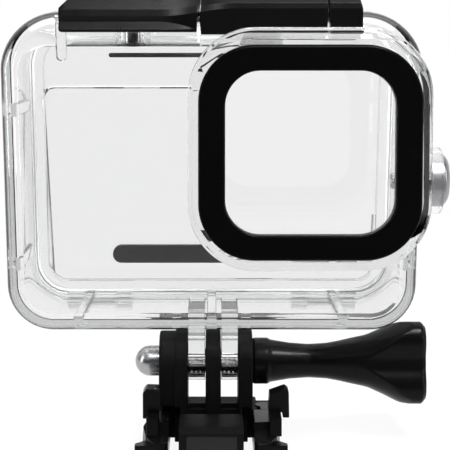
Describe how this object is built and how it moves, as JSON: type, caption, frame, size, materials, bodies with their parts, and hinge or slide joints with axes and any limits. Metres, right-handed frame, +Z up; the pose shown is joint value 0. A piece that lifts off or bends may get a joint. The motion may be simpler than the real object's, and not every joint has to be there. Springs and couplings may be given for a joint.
{
  "type": "underwater camera housing",
  "caption": "Clear waterproof housing for a small action camera, with a lens port, a top latch, push buttons and a rear door, on a tilting quick-release buckle.",
  "frame": {"origin": "on the quick-release buckle's flat underside, straight below the screw", "axes": "+Z up through the screw axis to the housing, -Y the way the lens looks, +X to the right seen from the lens side"},
  "size_m": [0.0846, 0.0457, 0.0882],
  "materials": {
    "clear_plastic": "water clear polished polycarbonate",
    "lens_glass": "flat polished optical glass",
    "black_plastic": "black moulded plastic with a satin skin",
    "latch_black": "black moulded plastic with a fine satin skin",
    "frame_black": "deep black painted plastic frame",
    "black_rubber": "black moulded rubber",
    "clear_silicone": "translucent silicone",
    "chrome_steel": "bright stainless steel",
    "button_metal": "satin grey metal"
  },
  "bodies": {
    "buckle": {"buckle_base": "black_plastic", "acorn_nut": "chrome_steel"},
    "arm_left": {"snap_arm_left": "black_plastic"},
    "arm_right": {"snap_arm_right": "black_plastic"},
    "thumbscrew": {"thumb_knob": "black_plastic", "screw_shaft": "chrome_steel"},
    "housing": {"front_shell": "clear_plastic", "port_gasket": "black_rubber", "port_glass": "lens_glass", "port_frame": "frame_black", "shutter_bezel": "latch_black", "latch_end_block": "latch_black", "lever_pins": "chrome_steel", "hinge_pins": "chrome_steel"},
    "lever": {"latch_lever": "latch_black", "hook_pin": "chrome_steel"},
    "hook": {"latch_hook": "chrome_steel"},
    "lock": {"lock_slider": "latch_black"},
    "shutter": {"shutter_cap": "button_metal", "shutter_stem": "chrome_steel", "shutter_oring": "black_rubber", "shutter_clip": "chrome_steel", "shutter_spring": "chrome_steel"},
    "mode": {"mode_cap": "button_metal", "mode_stem": "chrome_steel", "mode_oring": "black_rubber", "mode_clip": "chrome_steel", "mode_spring": "chrome_steel"},
    "door": {"rear_door": "clear_plastic", "door_gasket": "clear_silicone", "top_pad": "black_rubber", "bottom_pad": "black_rubber"}
  },
  "joints": [
    {"name": "housing_tilt", "type": "hinge", "parent": "buckle", "child": "housing", "pos_m": [0, 0, 0.015], "axis": [1, 0, 0], "range_deg": [-50, 30]},
    {"name": "thumbscrew_turn", "type": "hinge", "parent": "buckle", "child": "thumbscrew", "pos_m": [0, 0, 0.015], "axis": [1, 0, 0], "continuous": true},
    {"name": "arm_left_squeeze", "type": "hinge", "parent": "buckle", "child": "arm_left", "pos_m": [-0.0099, 0.001, 0.003], "axis": [0, 0, 1], "range_deg": [0, 4.5], "stiffness_Nm_per_rad": 0.08},
    {"name": "arm_right_squeeze", "type": "hinge", "parent": "buckle", "child": "arm_right", "pos_m": [0.0099, 0.001, 0.003], "axis": [0, 0, -1], "range_deg": [0, 4.5], "stiffness_Nm_per_rad": 0.08},
    {"name": "door_swing", "type": "hinge", "parent": "housing", "child": "door", "pos_m": [0, 0.0165, 0.022], "axis": [-1, 0, 0], "range_deg": [0, 110]},
    {"name": "latch_lift", "type": "hinge", "parent": "housing", "child": "lever", "pos_m": [0.0092, -0.003, 0.0852], "axis": [-1, 0, 0], "range_deg": [-3, 90]},
    {"name": "hook_swing", "type": "hinge", "parent": "lever", "child": "hook", "pos_m": [0.0092, -0.0143, 0.085], "axis": [-1, 0, 0], "range_deg": [-109, 4]},
    {"name": "lock_slide", "type": "slide", "parent": "lever", "child": "lock", "axis": [1, 0, 0], "range_m": [0, 0.0025]},
    {"name": "shutter_press", "type": "slide", "parent": "housing", "child": "shutter", "axis": [0, 0, -1], "range_m": [0, 0.0015], "stiffness_N_per_m": 1200, "springref_m": -0.0008, "deforming": ["shutter_spring"]},
    {"name": "mode_press", "type": "slide", "parent": "housing", "child": "mode", "axis": [-1, 0, 0], "range_m": [0, 0.0015], "stiffness_N_per_m": 1200, "springref_m": -0.0008, "deforming": ["mode_spring"]}
  ],
  "couplings": [
    {"joint": "hook_swing", "follows": "latch_lift", "ratio": -1.2}
  ]
}
